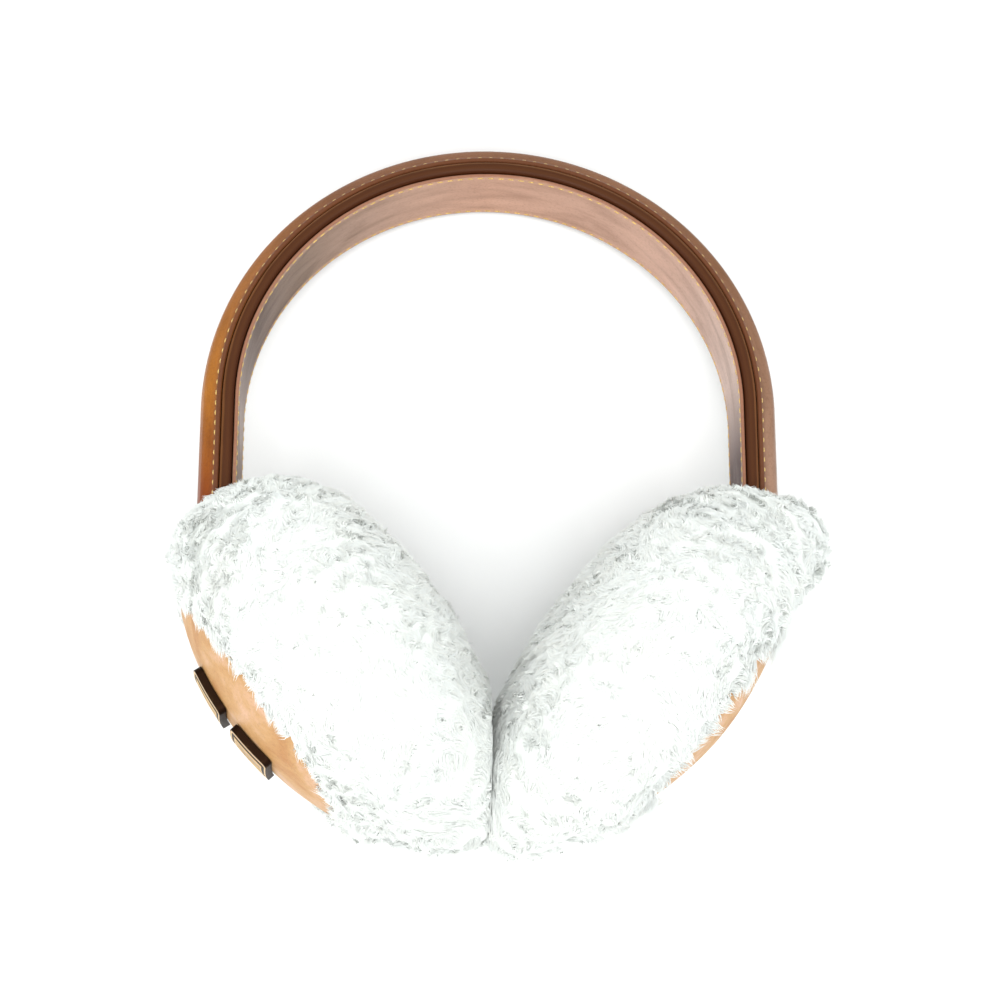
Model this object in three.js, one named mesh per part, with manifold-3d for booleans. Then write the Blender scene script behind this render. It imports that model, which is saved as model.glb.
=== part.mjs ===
// Shearling earmuffs lying on their back: a leather headband with a padded cover, a stiff core
// and a lining, and two thick fur pads, each closed outside by a domed leather cap.
// Everything is modelled in the worn frame (+X to the right, +Y up, +Z forward, origin at the
// centre of the band's arch), and the whole is then leaned back onto the surface that it lies on.
import * as THREE from 'three';
import { mergeVertices } from 'three/addons/utils/BufferGeometryUtils.js';
import Module from 'manifold-3d';

const wasm = await Module();
wasm.setup();

// Driving dimensions, in millimetres and degrees
const clearance = 0.3;           // between pieces that touch

const archHalfWidth = 73;        // arch's centre to the lining, sideways
const archRise = 71;             // arch's centre to the lining at the crown
const legLength = 45;            // straight legs from the arch down into the fur

const bandWidth = 28;            // stiff core, edge to edge
const coreThickness = 3.4;
const liningWidth = 26.5;
const liningThickness = 1.0;
const coverWidth = 26;
const coverEdge = 1.2;           // upright edge of the cover's leather
const coverCrown = 5.6;          // padding under the leather, above that edge

const padDrop = 74.5;            // arch's centre down to the pads' middle
const padRest = 56;              // pads' middle above the surface, with the fur pressed flat
const padsGap = 0.3;             // between the two pads where they press together

const furRadius = 59.5;          // pad's half length over the locks
const furInside = 33;            // pad's middle to the locks' tips on the ear's side
const lockWidth = 22;
const lockHeight = 6.5;          // how far a lock stands out of the backing
const swellHeight = 9;           // and how much more in the middle of a broad swell
const cornerHeight = 5;          // or of the narrow one that fills the corner between the pads
const locksPerPad = 56;

const capRadius = 37.5;
const capDome = 8;               // rise of the cap's middle over its edge
const capThickness = 2;

const barLength = 16.5;
const barWidth = 22;
const barHeight = 2.5;
const barSpacing = 19.5;         // centre to centre
const barRise = 0.8;             // their middle above the cap's
const barRounding = 2;

// Where the wool swells: round the pad from its lower end, and from Z' over the shoulder. Both
// pads swell where they press together, and the right one also beside the band's foot.
const seamSwell = { around: 0, over: 0.36 * Math.PI, height: swellHeight, power: 5 };
const footSwell = { around: Math.PI, over: 0.68 * Math.PI, height: swellHeight, power: 5 };
const cornerSwell = { around: 0, over: 0.5 * Math.PI, height: cornerHeight, power: 12 };

// How each pad lies: its middle's distance from the symmetry plane and its drop, the lean of its
// top away from the head, the turn of its outer face to the front, and its middle's distance
// from the cap's rim. The lengths are shares of the fur's sizes.
const pads = {
  left: {
    side: -1, spread: 0.74 * furRadius, drop: padDrop - 0.025 * furRadius,
    lean: 38, turn: 0.5, capDepth: 0.82 * furInside, swirl: 0.86, swells: [seamSwell, cornerSwell],
  },
  right: {
    side: 1, spread: 0.79 * furRadius, drop: padDrop + 0.017 * furRadius,
    lean: 37, turn: -4, capDepth: 0.591 * furInside, swirl: 1.37,
    swells: [seamSwell, cornerSwell, footSwell],
  },
};

const archSteps = 40;
const backingSides = 20;
const backingRings = 7;
const shoulderPower = 0.77;      // under 1 makes the pad's section squarer
const capSides = 28;
const capRings = 4;
const shoulderStep = 0.02;       // for the shoulder's slope, as a share of its way
const lockSides = 5;
const firstLock = 0.15;          // where the first lock stands on the shoulder, from 0 to 1
const lockCrowding = 0.6;        // under 1 leaves fewer locks near the ear's side
const rimTrim = 0.7;             // share by which the locks that face the cap are shorter
const goldenAngle = Math.PI * (3 - Math.sqrt(5));

// A lock's root and its knee under the tip, as shares of its length and width
const lockForm = { root: 0.6, kneeHeight: 0.7, kneeRadius: 0.32 };

// How much the locks differ: shares of length and width, and radians of lean
const lockVariety = { length: 0.2, width: 0.15, sideways: 0.3, upDown: 0.25 };

const leather = (color) => new THREE.MeshStandardMaterial({ color, roughness: 0.5, metalness: 0 });
const materials = {
  cover: leather(0x8a5430),
  core: leather(0x4c2716),
  lining: leather(0xc69e89),
  cap: leather(0xd9a873),
  fur: new THREE.MeshStandardMaterial({ color: 0xf4f5ef, roughness: 1, metalness: 0 }),
  bar: new THREE.MeshStandardMaterial({ color: 0x8c7440, roughness: 0.4, metalness: 0.9 }),
};

// Solids and booleans

// A closed solid from a geometry: only positions are kept, shared corners are merged and the
// triangles that a pole or a seam collapses are dropped.
function solid(geometry) {
  const bare = geometry.clone();
  bare.deleteAttribute('normal');
  bare.deleteAttribute('uv');
  const merged = mergeVertices(bare, 1e-4);
  const corners = merged.index.array;
  const kept = [];
  for (let i = 0; i < corners.length; i += 3) {
    const [a, b, c] = [corners[i], corners[i + 1], corners[i + 2]];
    if (a !== b && b !== c && c !== a) kept.push(a, b, c);
  }
  return new wasm.Manifold(new wasm.Mesh({
    numProp: 3,
    vertProperties: new Float32Array(merged.attributes.position.array),
    triVerts: new Uint32Array(kept),
  }));
}

function geometryOf(body) {
  const mesh = body.getMesh();
  const geometry = new THREE.BufferGeometry();
  geometry.setAttribute('position', new THREE.BufferAttribute(mesh.vertProperties, 3));
  geometry.setIndex(new THREE.BufferAttribute(mesh.triVerts, 1));
  geometry.computeVertexNormals();
  return geometry;
}

function fuse(bodies) {
  let list = bodies;
  while (list.length > 1) {
    const pairs = [];
    for (let i = 0; i < list.length; i += 2) {
      pairs.push(i + 1 < list.length ? list[i].add(list[i + 1]) : list[i]);
    }
    list = pairs;
  }
  return list[0];
}

// The largest body of a cut geometry, without the crumbs that the cuts leave beside it
function largestPiece(geometry) {
  const corners = geometry.index.array;
  const owner = Array.from({ length: geometry.attributes.position.count }, (_, i) => i);
  const root = (i) => {
    let at = i;
    while (owner[at] !== at) at = owner[at];
    owner[i] = at;
    return at;
  };
  for (let i = 0; i < corners.length; i += 3) {
    owner[root(corners[i + 1])] = root(corners[i]);
    owner[root(corners[i + 2])] = root(corners[i]);
  }
  const bodies = new Map();
  for (let i = 0; i < corners.length; i += 3) {
    const body = root(corners[i]);
    if (!bodies.has(body)) bodies.set(body, []);
    bodies.get(body).push(corners[i], corners[i + 1], corners[i + 2]);
  }
  const kept = [...bodies.values()].sort((a, b) => b.length - a.length)[0];
  return geometry.setIndex(kept);
}

function mesh(name, geometry, material) {
  const made = new THREE.Mesh(geometry, material);
  made.name = name;
  return made;
}

const point = (x, y) => new THREE.Vector2(x, y);

// Headband

// The lining's inner face: a leg, half an ellipse over the head, and the other leg
function bandLine(extraLength = 0) {
  class Arch extends THREE.Curve {
    getPoint(t) {
      const angle = Math.PI * (1 - t);
      return new THREE.Vector3(archHalfWidth * Math.cos(angle), archRise * Math.sin(angle), 0);
    }
  }
  const foot = (side) => new THREE.Vector3(side * archHalfWidth, -legLength - extraLength, 0);
  const top = (side) => new THREE.Vector3(side * archHalfWidth, 0, 0);
  const line = new THREE.CurvePath();
  line.add(new THREE.LineCurve3(foot(-1), top(-1)));
  line.add(new Arch());
  line.add(new THREE.LineCurve3(top(1), foot(1)));
  return line;
}

// Sections are drawn across the band: x runs over its width and y away from the head
const coreBase = liningThickness + clearance;
const coverBase = coreBase + coreThickness + clearance;

function stripSection(width, base, thickness) {
  const shape = new THREE.Shape();
  shape.moveTo(-width / 2, base);
  shape.lineTo(width / 2, base);
  shape.lineTo(width / 2, base + thickness);
  shape.lineTo(-width / 2, base + thickness);
  shape.closePath();
  return shape;
}

function domedSection(width, base, edge, crown) {
  const shape = new THREE.Shape();
  shape.moveTo(-width / 2, base);
  shape.lineTo(width / 2, base);
  shape.lineTo(width / 2, base + edge);
  shape.absellipse(0, base + edge, width / 2, crown, 0, Math.PI, false);
  shape.closePath();
  return shape;
}

function alongBand(section, extraLength = 0) {
  return new THREE.ExtrudeGeometry(section, {
    steps: archSteps, curveSegments: 6, bevelEnabled: false, extrudePath: bandLine(extraLength),
  });
}

const coverSection = domedSection(coverWidth, coverBase, coverEdge, coverCrown);
const coreSection = stripSection(bandWidth, coreBase, coreThickness);
const liningSection = stripSection(liningWidth, 0, liningThickness);

const band = new THREE.Group();
band.add(mesh('band_cover', alongBand(coverSection), materials.cover));
band.add(mesh('band_core', alongBand(coreSection), materials.core));
band.add(mesh('band_lining', alongBand(liningSection), materials.lining));

// The space that the band's end takes in the fur
const pocketSection = domedSection(bandWidth + 2 * clearance, -clearance,
  coverBase + coverEdge + clearance, coverCrown + clearance);
const pocketGeometry = alongBand(pocketSection, clearance);

// Lying: the crown's rear edge and the pressed fur share one surface
const crownHeight = archRise + coreBase + coreThickness;
const restSpan = crownHeight + padDrop;
const lean = Math.asin(padRest / Math.hypot(restSpan, bandWidth / 2))
  - Math.atan2(bandWidth / 2, restSpan);
const floorDrop = Math.sin(lean) * crownHeight + Math.cos(lean) * bandWidth / 2;
const lying = new THREE.Matrix4().makeRotationX(-lean);

function boxGeometry(corner, opposite) {
  const box = new THREE.Box3().setFromPoints([corner, opposite]);
  const size = box.getSize(new THREE.Vector3());
  const centre = box.getCenter(new THREE.Vector3());
  return new THREE.BoxGeometry(size.x, size.y, size.z).translate(centre.x, centre.y, centre.z);
}

const reach = 4 * furRadius;
const underFloor = boxGeometry(new THREE.Vector3(-reach, -reach, -floorDrop - reach),
  new THREE.Vector3(reach, reach, -floorDrop)).applyMatrix4(lying.clone().invert());

// Pads, each in its own frame: X' down the pad, Z' towards the ear
function padMatrix({ side, spread, drop, lean: padLean, turn }) {
  const [away, forward] = [padLean, turn].map(THREE.MathUtils.degToRad);
  const down = new THREE.Vector3(-side * Math.sin(away), -Math.cos(away), 0);
  const inward = new THREE.Vector3(-side * Math.cos(away), Math.sin(away), 0)
    .multiplyScalar(Math.cos(forward)).add(new THREE.Vector3(0, 0, -Math.sin(forward)));
  const across = new THREE.Vector3().crossVectors(inward, down);
  return new THREE.Matrix4().makeBasis(down, across, inward)
    .setPosition(side * spread, -drop, 0);
}

function revolve(profile, sides) {
  return new THREE.LatheGeometry(profile, sides).rotateX(Math.PI / 2);
}

// The backing under the locks is drawn as half of its section, radius against Z'. Its round
// shoulder runs from the cap's rim (t = 0) over the pad's edge to the ear's side (t = 1).
function shoulder(t, capDepth) {
  const angle = (t - 0.5) * Math.PI;
  const flat = angle < 0 ? capRadius : 0;
  const depth = angle < 0 ? capDepth : furInside - lockHeight;
  return point(flat + (furRadius - lockHeight - flat) * Math.cos(angle) ** shoulderPower,
    depth * Math.sin(angle));
}

function backingGeometry(capDepth) {
  const face = -capDepth - capDome;
  const profile = [point(0, face), point(capRadius, face)];
  for (let i = 0; i < backingRings; i += 1) profile.push(shoulder(i / backingRings, capDepth));
  profile.push(point(0, furInside - lockHeight));
  return revolve(profile, backingSides);
}

// The cap's dome over its rim, measured some depth under its outer face
const domeRadius = (capRadius ** 2 + capDome ** 2) / (2 * capDome);

function domeProfile(radius, depth, rim) {
  const line = [];
  for (let i = 0; i <= capRings; i += 1) {
    const r = (radius * i) / capRings;
    const rise = Math.sqrt((domeRadius - depth) ** 2 - r ** 2) - (domeRadius - capDome);
    line.push(point(r, rim - rise));
  }
  return line;
}

function capGeometry(capDepth) {
  const outer = domeProfile(capRadius, 0, -capDepth);
  const inner = domeProfile(capRadius - capThickness, capThickness, -capDepth);
  return revolve([...outer, ...inner.reverse()], capSides);
}

// The cap and the space outside it, a clearance larger
function capSeatGeometry(capDepth) {
  const radius = capRadius + clearance;
  const inner = domeProfile(radius - capThickness, capThickness + clearance, -capDepth);
  const outer = [point(0, -reach), point(radius, -reach), point(radius, clearance - capDepth)];
  return revolve([...outer, ...inner.reverse()], capSides);
}

// A lock: a pointed round tuft, its root at the origin and its tip along Z
function lockGeometry(width, length) {
  const profile = [point(0, -lockForm.root * length), point(width / 2, 0),
    point(lockForm.kneeRadius * width, lockForm.kneeHeight * length), point(0, length)];
  return revolve(profile, lockSides);
}

// Repeatable spread between -1 and 1
function spread(i, seed) {
  const wave = Math.sin(12.9898 * (i + 1) + 78.233 * (seed + 1)) * 43758.5453;
  return 2 * (wave - Math.floor(wave)) - 1;
}

// Locks sit on the backing in one spiral from the cap's rim to the ear's side. They are longer
// where the wool swells.
function lockSolid(i, { swirl, capDepth, swells }) {
  const share = (i + 0.5) / locksPerPad;
  const place = 1 - (1 - firstLock) * (1 - share) ** lockCrowding;
  const here = shoulder(place, capDepth);
  const ahead = shoulder(Math.min(place + shoulderStep, 1), capDepth);
  const behind = shoulder(place - shoulderStep, capDepth);
  const outward = Math.atan2(ahead.y - behind.y, behind.x - ahead.x);
  const turn = i * goldenAngle + swirl;
  const growths = swells.map(({ around, over, height, power }) => height
    * (Math.max(0, Math.cos(turn - around)) * Math.max(0, Math.cos(outward - over))) ** power);
  const growth = growths.reduce((sum, part) => sum + part, 0);
  const trimmed = 1 - rimTrim * Math.max(0, -Math.cos(outward));
  const length = (lockHeight * trimmed + growth)
    * (1 + lockVariety.length * spread(i, swirl + 3));
  const width = lockWidth * (1 + lockVariety.width * spread(i, swirl + 2));
  const lock = lockGeometry(width, length)
    .rotateX(lockVariety.sideways * spread(i, swirl + 1))
    .rotateY(outward + lockVariety.upDown * spread(i, swirl))
    .translate(here.x, 0, here.y)
    .rotateZ(turn);
  return solid(lock);
}

function furGeometry(pad) {
  const locks = [];
  for (let i = 0; i < locksPerPad; i += 1) locks.push(lockSolid(i, pad));
  const toPad = padMatrix(pad).invert();
  const otherSide = boxGeometry(new THREE.Vector3(-pad.side * reach, -reach, -reach),
    new THREE.Vector3(pad.side * padsGap / 2, reach, reach));
  const cutters = [otherSide, underFloor, pocketGeometry]
    .map((geometry) => solid(geometry.clone().applyMatrix4(toPad)));
  cutters.push(solid(capSeatGeometry(pad.capDepth)));
  const whole = fuse([solid(backingGeometry(pad.capDepth)), ...locks]);
  return largestPiece(geometryOf(cutters.reduce((rest, cutter) => rest.subtract(cutter), whole)));
}

// A plain oblong bar on the cap's middle line, its foot and its face domed like the cap
function barGeometry(along, capDepth) {
  const [halfLength, halfWidth] = [barLength / 2 - barRounding, barWidth / 2 - barRounding];
  const outline = new THREE.Shape();
  outline.absarc(halfLength, halfWidth, barRounding, 0, Math.PI / 2);
  outline.absarc(-halfLength, halfWidth, barRounding, Math.PI / 2, Math.PI);
  outline.absarc(-halfLength, -halfWidth, barRounding, Math.PI, 1.5 * Math.PI);
  outline.absarc(halfLength, -halfWidth, barRounding, 1.5 * Math.PI, 2 * Math.PI);
  outline.closePath();
  const bar = new THREE.ExtrudeGeometry(outline, {
    depth: 2 * barHeight + capThickness, bevelEnabled: false, curveSegments: 3,
  }).translate(0, 0, -domeRadius - 2 * barHeight)
    .rotateY(-Math.asin(along / domeRadius))
    .translate(0, 0, domeRadius - capDepth - capDome);
  const ball = (height) => {
    const dome = domeProfile(capRadius, -height, -capDepth);
    return solid(revolve([...dome, point(0, 0)], capSides));
  };
  return geometryOf(solid(bar).intersect(ball(barHeight)).subtract(ball(clearance)));
}

function padGroup(side) {
  const group = new THREE.Group();
  group.add(mesh(`fur_${side}`, furGeometry(pads[side]), materials.fur));
  group.add(mesh(`cap_${side}`, capGeometry(pads[side].capDepth), materials.cap));
  group.applyMatrix4(padMatrix(pads[side]));
  return group;
}

const leftPad = padGroup('left');
const { capDepth } = pads.left;
const barPlaces = { bar_upper: -barRise - barSpacing / 2, bar_lower: -barRise + barSpacing / 2 };
for (const [name, along] of Object.entries(barPlaces)) {
  leftPad.add(mesh(name, barGeometry(along, capDepth), materials.bar));
}

const worn = new THREE.Group();
worn.add(band, leftPad, padGroup('right'));
worn.rotation.x = -lean;

// The origin is the middle of the whole part's footprint, on the surface that it lies on
const footprint = new THREE.Box3().setFromObject(worn, true);
const middle = footprint.getCenter(new THREE.Vector3());
const earmuffs = new THREE.Group();
worn.position.set(-middle.x, -middle.y, floorDrop);
earmuffs.add(worn);

export default earmuffs;
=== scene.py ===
"""Looks of the shearling earmuffs: leather headband, wool pads, domed leather caps and brass bars.

Lengths are in metres. The pieces are drawn in the worn frame (+X right, +Y up, +Z forward,
origin at the centre of the band's arch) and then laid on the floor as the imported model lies.
"""

import logging
import math
from collections.abc import Iterable, Sequence
from dataclasses import dataclass
from enum import Enum

import bmesh
import bpy
import numpy as np
from mathutils import Matrix, Vector, noise

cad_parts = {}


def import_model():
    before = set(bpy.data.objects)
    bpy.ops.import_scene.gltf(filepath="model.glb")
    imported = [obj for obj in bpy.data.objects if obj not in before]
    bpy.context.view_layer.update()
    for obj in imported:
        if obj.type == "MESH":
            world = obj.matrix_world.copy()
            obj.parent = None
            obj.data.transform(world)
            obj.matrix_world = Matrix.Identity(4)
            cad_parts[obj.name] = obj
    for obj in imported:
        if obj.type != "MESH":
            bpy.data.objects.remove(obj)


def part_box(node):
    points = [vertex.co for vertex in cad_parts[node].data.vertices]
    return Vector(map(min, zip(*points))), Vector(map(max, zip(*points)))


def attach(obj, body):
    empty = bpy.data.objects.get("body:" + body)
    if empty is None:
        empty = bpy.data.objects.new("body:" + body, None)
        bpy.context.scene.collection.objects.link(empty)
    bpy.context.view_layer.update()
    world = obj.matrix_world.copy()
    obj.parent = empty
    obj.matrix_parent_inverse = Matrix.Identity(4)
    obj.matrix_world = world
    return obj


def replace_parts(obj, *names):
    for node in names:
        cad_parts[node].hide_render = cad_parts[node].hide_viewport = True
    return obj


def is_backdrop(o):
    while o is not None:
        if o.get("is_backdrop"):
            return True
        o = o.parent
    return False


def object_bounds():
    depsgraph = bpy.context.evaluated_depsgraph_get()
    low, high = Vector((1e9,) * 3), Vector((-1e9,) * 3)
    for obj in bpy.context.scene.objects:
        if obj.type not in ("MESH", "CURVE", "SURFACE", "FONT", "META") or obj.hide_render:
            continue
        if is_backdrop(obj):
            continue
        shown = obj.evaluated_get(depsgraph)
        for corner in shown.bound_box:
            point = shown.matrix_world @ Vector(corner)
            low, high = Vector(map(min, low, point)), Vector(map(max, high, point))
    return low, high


log = logging.getLogger("earmuffs")

MM = 0.001
CLEARANCE = 0.3 * MM
BODY = "root"

# Sizes that several pieces share
ARCH_HALF_WIDTH = 73 * MM
ARCH_RISE = 71 * MM
LEG_LENGTH = 45 * MM
BAND_WIDTH = 28 * MM
PAD_DROP = 74.5 * MM
PAD_RADIUS = 59.5 * MM
PAD_INSIDE = 33 * MM

Color = tuple[float, float, float]
Section = list[tuple[float, float]]


class Side(Enum):
    """Side of the head that a piece is on, as the sign of its X."""

    LEFT = -1
    RIGHT = 1

    @property
    def word(self) -> str:
        """The side's name in lower case."""
        return self.name.lower()


def srgb(red: int, green: int, blue: int) -> Color:
    """Turns a picture's colour into a linear one.

    Args:
        red: Red, from 0 to 255.
        green: Green, from 0 to 255.
        blue: Blue, from 0 to 255.

    Returns:
        The linear colour, each channel from 0 to 1.
    """
    def linear(value: int) -> float:
        """One channel."""
        share = value / 255
        return share / 12.92 if share <= 0.04045 else ((share + 0.055) / 1.055) ** 2.4

    return linear(red), linear(green), linear(blue)


# Node trees


class Shader:
    """A material's node tree, with short calls to add and join nodes."""

    def __init__(self, name: str) -> None:
        """Starts a material of that name with only its output and a Principled shader."""
        self.material = bpy.data.materials.new(name)
        self.material.use_nodes = True
        self.tree = self.material.node_tree
        self.tree.nodes.clear()
        self.output = self.tree.nodes.new("ShaderNodeOutputMaterial")
        self.surface = self.tree.nodes.new("ShaderNodeBsdfPrincipled")
        self.join(self.surface.outputs["BSDF"], self.output.inputs["Surface"])

    def join(self, source: bpy.types.NodeSocket, target: bpy.types.NodeSocket) -> None:
        """Links two sockets."""
        self.tree.links.new(source, target)

    def node(self, kind: str, values: dict | None = None, **settings: object) -> bpy.types.Node:
        """Adds a node.

        Args:
            kind: The node's type name.
            values: Input sockets by name or number, each a constant or a socket to link.
            **settings: The node's own properties.

        Returns:
            The node.
        """
        made = self.tree.nodes.new(kind)
        for key, value in settings.items():
            setattr(made, key, value)
        for key, value in (values or {}).items():
            if isinstance(value, bpy.types.NodeSocket):
                self.join(value, made.inputs[key])
            else:
                made.inputs[key].default_value = value
        return made

    def place(self) -> bpy.types.NodeSocket:
        """The point in object coordinates."""
        return self.node("ShaderNodeTexCoord").outputs["Object"]

    def attribute(self, name: str) -> bpy.types.Node:
        """A mesh attribute's node."""
        return self.node("ShaderNodeAttribute", attribute_name=name)

    def noise(self, scale: float, detail: float = 3.0, place: bpy.types.NodeSocket | None = None,
              roughness: float = 0.5, distortion: float = 0.0) -> bpy.types.NodeSocket:
        """Smooth noise, from 0 to 1.

        Args:
            scale: Waves in a metre.
            detail: Octaves.
            place: Where to read it, the object coordinates if none.
            roughness: Strength of the finer octaves.
            distortion: How much the pattern is pulled about.

        Returns:
            The noise's factor.
        """
        return self.node("ShaderNodeTexNoise", {
            "Vector": place or self.place(), "Scale": scale, "Detail": detail,
            "Roughness": roughness, "Distortion": distortion,
        }).outputs["Fac"]

    def cells(self, scale: float, feature: str = "F1",
              place: bpy.types.NodeSocket | None = None) -> bpy.types.NodeSocket:
        """Distance in a pattern of cells, as in leather's grain."""
        return self.node("ShaderNodeTexVoronoi", {
            "Vector": place or self.place(), "Scale": scale,
        }, feature=feature).outputs["Distance"]

    def ramp(self, factor: bpy.types.NodeSocket,
             stops: Sequence[tuple[float, Color]]) -> bpy.types.NodeSocket:
        """Colours along a factor.

        Args:
            factor: The factor, from 0 to 1.
            stops: Places and their linear colours, in rising order.

        Returns:
            The colour.
        """
        made = self.node("ShaderNodeValToRGB", {"Fac": factor})
        elements = made.color_ramp.elements
        while len(elements) < len(stops):
            elements.new(0.5)
        for element, (position, color) in zip(elements, stops):
            element.position = position
            element.color = (*color, 1.0)
        return made.outputs["Color"]

    def mix(self, factor: bpy.types.NodeSocket | float, low: bpy.types.NodeSocket | Color,
            high: bpy.types.NodeSocket | Color, blend: str = "MIX") -> bpy.types.NodeSocket:
        """Mixes two colours, each a socket or a constant."""
        def value(color: bpy.types.NodeSocket | Color) -> object:
            """A constant colour gets its alpha."""
            return color if isinstance(color, bpy.types.NodeSocket) else (*color, 1.0)

        made = self.node("ShaderNodeMix", {0: factor, 6: value(low), 7: value(high)},
                         data_type="RGBA", blend_type=blend)
        return made.outputs[2]

    def math(self, kind: str, *values: bpy.types.NodeSocket | float) -> bpy.types.NodeSocket:
        """A sum on numbers, each a socket or a constant."""
        return self.node("ShaderNodeMath", dict(enumerate(values)), operation=kind).outputs[0]

    def spread(self, value: bpy.types.NodeSocket, low: float, high: float, first: float = 0.0,
               last: float = 1.0) -> bpy.types.NodeSocket:
        """Maps a value's range from low and high to first and last, and holds it there."""
        return self.node("ShaderNodeMapRange", {
            "Value": value, "From Min": low, "From Max": high, "To Min": first, "To Max": last,
        }).outputs["Result"]

    def bump(self, *layers: tuple[bpy.types.NodeSocket, float]) -> None:
        """Puts layers of relief on the surface, each a height from 0 to 1 and its depth."""
        normal = None
        for height, depth in layers:
            values = {"Height": height, "Distance": depth, "Strength": 1.0}
            if normal is not None:
                values["Normal"] = normal
            normal = self.node("ShaderNodeBump", values).outputs["Normal"]
        self.join(normal, self.surface.inputs["Normal"])

    def set(self, **values: object) -> None:
        """Sets or links the shader's own sockets, with _ for each space in their names."""
        for key, value in values.items():
            socket = self.surface.inputs[key.replace("_", " ")]
            if isinstance(value, bpy.types.NodeSocket):
                self.join(value, socket)
            elif isinstance(value, tuple) and len(value) == 3 and socket.type == "RGBA":
                socket.default_value = (*value, 1.0)
            else:
                socket.default_value = value


# Finishes


@dataclass(frozen=True)
class Leather:
    """Smooth aniline leather, with pores, a fine grain and cloudy dye."""

    name: str
    dark: Color
    middle: Color
    light: Color
    roughness: float = 0.45
    grain: float = 1500.0
    grain_depth: float = 0.05 * MM
    cloud: float = 55.0
    coat: float = 0.03
    shine: float = 0.2

    def material(self) -> bpy.types.Material:
        """The leather's material."""
        shader = Shader(self.name)
        cloudy = shader.noise(self.cloud, 4, roughness=0.6, distortion=0.4)
        color = shader.ramp(cloudy, [(0.3, self.dark), (0.5, self.middle), (0.72, self.light)])
        self.finish(shader, color, cloudy)
        return shader.material

    def finish(self, shader: Shader, color: bpy.types.NodeSocket,
               cloudy: bpy.types.NodeSocket) -> None:
        """Adds pores, grain and sheen to a colour.

        Args:
            shader: The material's node tree.
            color: The dye's colour.
            cloudy: The dye's clouds, which the roughness follows.
        """
        grain = shader.cells(self.grain)
        pores = shader.spread(shader.noise(self.grain * 1.7, 2), 0.55, 0.75)
        shaded = shader.mix(shader.spread(grain, 0.5, 0.95, 0.0, 0.3), color,
                            (0.55, 0.5, 0.45), "MULTIPLY")
        shader.set(
            Base_Color=shaded, Coat_Weight=self.coat, Coat_Roughness=0.35,
            Specular_IOR_Level=self.shine,
            Roughness=shader.spread(cloudy, 0.3, 0.7, self.roughness + 0.08,
                                    self.roughness - 0.06),
        )
        creases = shader.noise(260.0, 3, roughness=0.65, distortion=1.2)
        shader.bump((grain, self.grain_depth), (pores, -0.4 * self.grain_depth),
                    (creases, 2.2 * self.grain_depth))


@dataclass(frozen=True)
class BandLeather(Leather):
    """Leather on the band. Its colour follows the strip's own places, kept in "strip"."""

    # Colour stops along the band: dye variation with painted light and shade on its legs and feet
    dye_and_painted_light: tuple[tuple[float, Color], ...] = ()
    edge: Color = (0.1, 0.05, 0.03)
    margin: Color = (0.4, 0.2, 0.1)
    margin_share: float = 0.5
    half_width: float = 13.0 * MM
    margin_width: float = 2.0 * MM
    length: float = 316 * MM

    def material(self) -> bpy.types.Material:
        """The leather's material, with dye and painted light and shade along the band and its own
        cut edge.
        """
        shader = Shader(self.name)
        strip = shader.attribute("strip").outputs["Vector"]
        parts = shader.node("ShaderNodeSeparateXYZ", {"Vector": strip})
        streaky = shader.node("ShaderNodeMapping", {"Vector": strip, "Scale": (0.3, 1.0, 1.0)})
        cloudy = shader.noise(self.cloud * 2.4, 4, streaky.outputs["Vector"], 0.6, 0.5)
        wander = shader.math("MULTIPLY", shader.math("SUBTRACT", cloudy, 0.5), 14 * MM)
        along = shader.spread(shader.math("ADD", parts.outputs["X"], wander), 0.0, self.length)
        clouds = shader.ramp(cloudy, [(0.3, self.dark), (0.5, self.middle), (0.72, self.light)])
        # Painted light and shade along the band, multiplied by the dye's clouds
        color = shader.mix(1.0, shader.ramp(along, self.dye_and_painted_light), clouds, "MULTIPLY")
        across = shader.math("ABSOLUTE", parts.outputs["Y"])
        ragged = shader.math("ADD", across, shader.math(
            "MULTIPLY", shader.math("SUBTRACT", cloudy, 0.5), 1.2 * MM))
        margin = shader.spread(ragged, self.half_width - self.margin_width - 0.5 * MM,
                               self.half_width - self.margin_width + 0.5 * MM)
        color = shader.mix(shader.math("MULTIPLY", margin, self.margin_share), color, self.margin)
        rim = shader.spread(ragged, self.half_width - 0.55 * MM, self.half_width - 0.1 * MM)
        color = shader.mix(rim, color, self.edge)
        self.finish(shader, color, cloudy)
        return shader.material


@dataclass(frozen=True)
class EdgePaint:
    """Painted and burnished leather edge, in lengthwise layers."""

    name: str
    base: float
    thickness: float
    stops: tuple[tuple[float, Color], ...]

    def material(self) -> bpy.types.Material:
        """The edge's material."""
        shader = Shader(self.name)
        strip = shader.attribute("strip").outputs["Vector"]
        streaky = shader.node("ShaderNodeMapping", {"Vector": strip, "Scale": (0.06, 1.0, 1.0)})
        streaks = shader.noise(900.0, 4, streaky.outputs["Vector"], 0.65)
        height = shader.node("ShaderNodeSeparateXYZ", {"Vector": strip}).outputs["Z"]
        level = shader.spread(height, self.base, self.base + self.thickness)
        wavy = shader.math("ADD", level, shader.math(
            "MULTIPLY", shader.math("SUBTRACT", streaks, 0.5), 0.35))
        color = shader.ramp(wavy, self.stops)
        shader.set(Base_Color=color, Specular_IOR_Level=0.16,
                   Roughness=shader.spread(streaks, 0.3, 0.7, 0.6, 0.45))
        shader.bump((streaks, 0.12 * MM), (shader.noise(2400.0, 2), 0.03 * MM))
        return shader.material


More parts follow.
